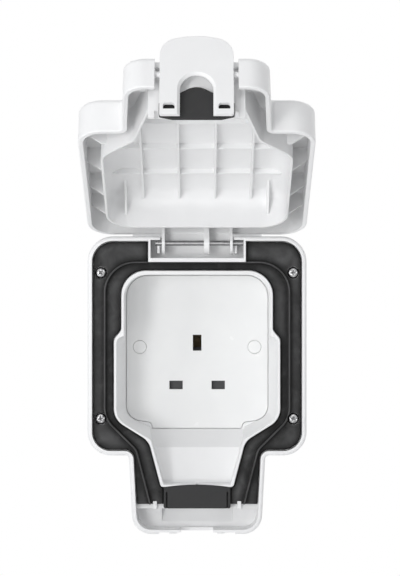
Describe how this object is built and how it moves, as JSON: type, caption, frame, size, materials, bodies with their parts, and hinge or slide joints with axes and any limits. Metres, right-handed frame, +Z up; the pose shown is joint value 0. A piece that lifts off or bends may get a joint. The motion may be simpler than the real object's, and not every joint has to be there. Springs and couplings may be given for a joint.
{
  "type": "outdoor weatherproof socket",
  "caption": "Wall-mounted weatherproof power outlet with a deep socket well, rubber face seal, hinged lid and a snap latch over the cable outlet.",
  "frame": {"origin": "centre of the four wall fixing holes, on the back face that lies on the wall", "axes": "+X right, +Z up along the wall, front facing -Y"},
  "size_m": [0.112, 0.1964, 0.2404],
  "materials": {
    "white_plastic": "white UV-stable moulding, fine satin",
    "white_gloss": "white moulded socket face",
    "face_rubber": "black moulded rubber, satin",
    "seal_rubber": "dark grey moulded rubber",
    "steel": "stainless steel",
    "brass": "rolled brass",
    "grey_plastic": "dark grey moulding"
  },
  "bodies": {
    "base": {"back_box": "white_plastic", "box_seal": "seal_rubber", "entry_plugs": "white_plastic", "front_frame": "white_plastic", "face_gasket": "face_rubber", "cable_seal_lower": "seal_rubber", "frame_screws": "steel", "hinge_pin": "steel", "socket_plate": "white_gloss", "screw_caps": "white_gloss", "plate_screws": "steel", "contact_housing": "grey_plastic", "earth_contact": "brass", "live_contact": "brass", "neutral_contact": "brass", "terminal_screws": "brass", "shutter_spring": "steel"},
    "lid": {"lid": "white_plastic", "cable_seal_upper": "seal_rubber"},
    "latch": {"latch": "white_plastic"},
    "shutter": {"shutter": "grey_plastic"}
  },
  "joints": [
    {"name": "lid_hinge", "type": "hinge", "parent": "base", "child": "lid", "pos_m": [0, -0.0563, 0.0526], "axis": [-1, 0, 0], "range_deg": [-114, 0]},
    {"name": "latch_pivot", "type": "hinge", "parent": "lid", "child": "latch", "pos_m": [0, -0.18487, 0.12549], "axis": [-1, 0, 0], "range_deg": [0, 18]},
    {"name": "shutter_slide", "type": "slide", "parent": "base", "child": "shutter", "axis": [0, 0, -1], "range_m": [0, 0.0055], "stiffness_N_per_m": 300, "springref_m": -0.003, "deforming": ["shutter_spring"]}
  ]
}
